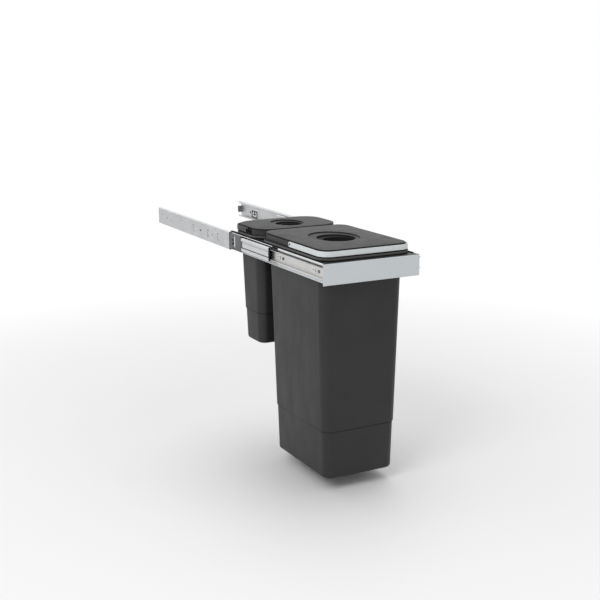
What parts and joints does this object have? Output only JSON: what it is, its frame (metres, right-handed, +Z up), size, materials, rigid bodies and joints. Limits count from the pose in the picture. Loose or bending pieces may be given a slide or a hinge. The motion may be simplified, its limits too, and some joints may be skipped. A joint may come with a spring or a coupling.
{
  "type": "pull out bin frame",
  "caption": "Pull-out waste bin frame on ball-bearing slides: a folded steel frame with lidded bins that hang in it by their rims, with swinging handles.",
  "frame": {"origin": "middle of the unit's opening: midway between its side walls, at its front edge, on the centre line of the slides", "axes": "+X to the right seen from the front, +Y into the unit, +Z up"},
  "size_m": [0.264, 0.973, 0.5399],
  "materials": {
    "slide_steel": "zinc-plated, satin",
    "cage_plastic": "black, matt",
    "ball_steel": "polished",
    "bumper_rubber": "matt",
    "screw_steel": "zinc-plated",
    "frame_coat": "silver-grey powder coat",
    "bin_plastic": "dark grey, fine grain",
    "lid_plastic": "dark grey, satin",
    "handle_silver": "silver, satin"
  },
  "bodies": {
    "wall_rails": {"left_outer_rail": "slide_steel", "right_outer_rail": "slide_steel", "left_rail_bumper": "bumper_rubber", "right_rail_bumper": "bumper_rubber"},
    "frame": {"front_panel": "frame_coat", "middle_crossbar": "frame_coat", "rear_crossbar": "frame_coat", "left_side_plate": "frame_coat", "left_top_rail": "frame_coat", "left_inner_rail": "slide_steel", "left_slide_screws": "screw_steel", "right_side_plate": "frame_coat", "right_top_rail": "frame_coat", "right_inner_rail": "slide_steel", "right_slide_screws": "screw_steel"},
    "large_bin": {"large_bin": "bin_plastic", "large_handle_pivots": "cage_plastic"},
    "small_bin": {"small_bin": "bin_plastic", "small_handle_pivots": "cage_plastic"},
    "large_lid": {"large_lid": "lid_plastic"},
    "small_lid": {"small_lid": "lid_plastic"},
    "large_handle": {"large_handle": "handle_silver"},
    "small_handle": {"small_handle": "lid_plastic"},
    "left_middle_rail": {"left_middle_rail": "slide_steel"},
    "left_outer_cage": {"left_outer_cage": "slide_steel", "left_outer_balls": "ball_steel"},
    "left_inner_cage": {"left_inner_cage": "cage_plastic", "left_inner_balls": "ball_steel"},
    "right_middle_rail": {"right_middle_rail": "slide_steel"},
    "right_outer_cage": {"right_outer_cage": "slide_steel", "right_outer_balls": "ball_steel"},
    "right_inner_cage": {"right_inner_cage": "cage_plastic", "right_inner_balls": "ball_steel"}
  },
  "joints": [
    {"name": "frame_slide", "type": "slide", "parent": "wall_rails", "child": "frame", "axis": [0, 1, 0], "range_m": [0, 0.47]},
    {"name": "left_middle_rail_slide", "type": "slide", "parent": "wall_rails", "child": "left_middle_rail", "axis": [0, 1, 0], "range_m": [0, 0.235]},
    {"name": "left_outer_cage_slide", "type": "slide", "parent": "wall_rails", "child": "left_outer_cage", "axis": [0, 1, 0], "range_m": [0, 0.1175]},
    {"name": "left_inner_cage_slide", "type": "slide", "parent": "wall_rails", "child": "left_inner_cage", "axis": [0, 1, 0], "range_m": [0, 0.3525]},
    {"name": "right_middle_rail_slide", "type": "slide", "parent": "wall_rails", "child": "right_middle_rail", "axis": [0, 1, 0], "range_m": [0, 0.235]},
    {"name": "right_outer_cage_slide", "type": "slide", "parent": "wall_rails", "child": "right_outer_cage", "axis": [0, 1, 0], "range_m": [0, 0.1175]},
    {"name": "right_inner_cage_slide", "type": "slide", "parent": "wall_rails", "child": "right_inner_cage", "axis": [0, 1, 0], "range_m": [0, 0.3525]},
    {"name": "large_bin_lift", "type": "slide", "parent": "frame", "child": "large_bin", "axis": [0, 0, 1], "range_m": [0, 0.53]},
    {"name": "small_bin_lift", "type": "slide", "parent": "frame", "child": "small_bin", "axis": [0, 0, 1], "range_m": [0, 0.28]},
    {"name": "large_lid_lift", "type": "slide", "parent": "large_bin", "child": "large_lid", "axis": [0, 0, 1], "range_m": [0, 0.05]},
    {"name": "small_lid_lift", "type": "slide", "parent": "small_bin", "child": "small_lid", "axis": [0, 0, 1], "range_m": [0, 0.05]},
    {"name": "large_handle_swing", "type": "hinge", "parent": "large_bin", "child": "large_handle", "pos_m": [0, -0.29697, 0.0357], "axis": [-1, 0, 0], "range_deg": [0, 90]},
    {"name": "small_handle_swing", "type": "hinge", "parent": "small_bin", "child": "small_handle", "pos_m": [0, -0.06822, 0.0357], "axis": [1, 0, 0], "range_deg": [0, 90]}
  ],
  "couplings": [
    {"joint": "left_middle_rail_slide", "follows": "frame_slide", "ratio": 0.5},
    {"joint": "left_outer_cage_slide", "follows": "frame_slide", "ratio": 0.25},
    {"joint": "left_inner_cage_slide", "follows": "frame_slide", "ratio": 0.75},
    {"joint": "right_middle_rail_slide", "follows": "frame_slide", "ratio": 0.5},
    {"joint": "right_outer_cage_slide", "follows": "frame_slide", "ratio": 0.25},
    {"joint": "right_inner_cage_slide", "follows": "frame_slide", "ratio": 0.75}
  ]
}
